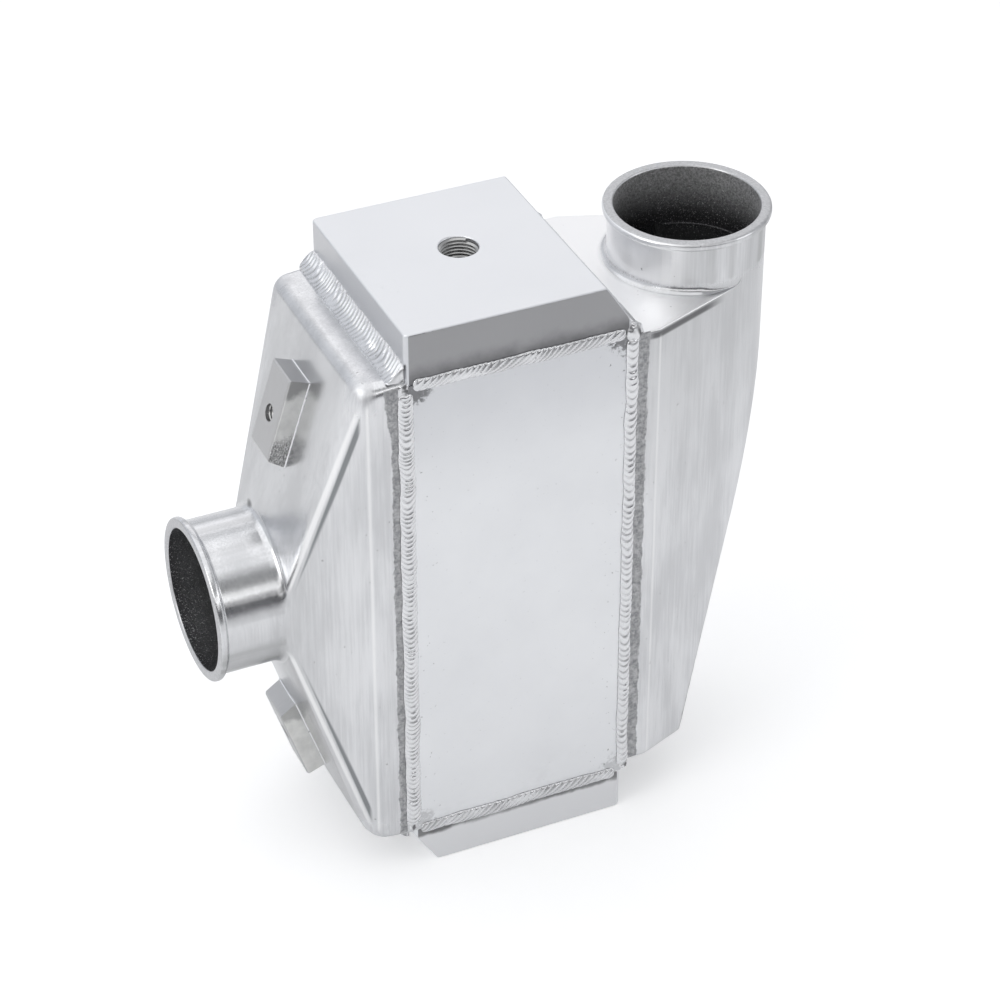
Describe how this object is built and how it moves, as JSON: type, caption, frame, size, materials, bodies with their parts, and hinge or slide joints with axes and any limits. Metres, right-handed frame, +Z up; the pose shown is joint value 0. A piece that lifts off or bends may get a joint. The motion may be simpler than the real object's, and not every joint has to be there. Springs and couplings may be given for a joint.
{
  "type": "intercooler",
  "caption": "Water-cooled intercooler: upright bar-and-plate core, cast end tanks with round hose stubs, flat water tanks with threaded ports, mount blocks.",
  "frame": {"origin": "centre of the bounding box in plan, at the height of the bottom water tank's outer face, on which the part stands", "axes": "+Z up along the water's way from the bottom port to the top port, +X along the charge air's way from the horizontal stub on the left to the upright stub on the right, +Y from the viewed front side to the back"},
  "size_m": [0.2998, 0.1172, 0.3145],
  "materials": {
    "cast_tank": "polished casting",
    "sheet_metal": "bright rolled sheet",
    "core_metal": "brazed, matt",
    "block_metal": "sawn and milled",
    "weld_metal": "as welded, rippled"
  },
  "bodies": {
    "root": {"front_side_plate": "sheet_metal", "back_side_plate": "sheet_metal", "parting_sheet_1": "core_metal", "parting_sheet_2": "core_metal", "parting_sheet_3": "core_metal", "parting_sheet_4": "core_metal", "parting_sheet_5": "core_metal", "parting_sheet_6": "core_metal", "parting_sheet_7": "core_metal", "parting_sheet_8": "core_metal", "parting_sheet_9": "core_metal", "parting_sheet_10": "core_metal", "parting_sheet_11": "core_metal", "parting_sheet_12": "core_metal", "parting_sheet_13": "core_metal", "parting_sheet_14": "core_metal", "air_fin_1": "core_metal", "air_fin_2": "core_metal", "air_fin_3": "core_metal", "air_fin_4": "core_metal", "air_fin_5": "core_metal", "air_fin_6": "core_metal", "air_fin_7": "core_metal", "air_fin_8": "core_metal", "water_fin_1": "core_metal", "water_fin_2": "core_metal", "water_fin_3": "core_metal", "water_fin_4": "core_metal", "water_fin_5": "core_metal", "water_fin_6": "core_metal", "water_fin_7": "core_metal", "top_air_bars": "core_metal", "bottom_air_bars": "core_metal", "left_water_bars": "core_metal", "right_water_bars": "core_metal", "top_water_tank": "sheet_metal", "bottom_water_tank": "sheet_metal", "left_end_tank": "cast_tank", "right_end_tank": "cast_tank", "upper_mount_block": "block_metal", "lower_mount_block": "block_metal", "front_left_weld": "weld_metal", "front_right_weld": "weld_metal", "back_left_weld": "weld_metal", "back_right_weld": "weld_metal", "top_front_weld": "weld_metal", "top_back_weld": "weld_metal", "top_left_weld": "weld_metal", "top_right_weld": "weld_metal", "bottom_front_weld": "weld_metal", "bottom_back_weld": "weld_metal", "bottom_left_weld": "weld_metal", "bottom_right_weld": "weld_metal"}
  },
  "joints": []
}
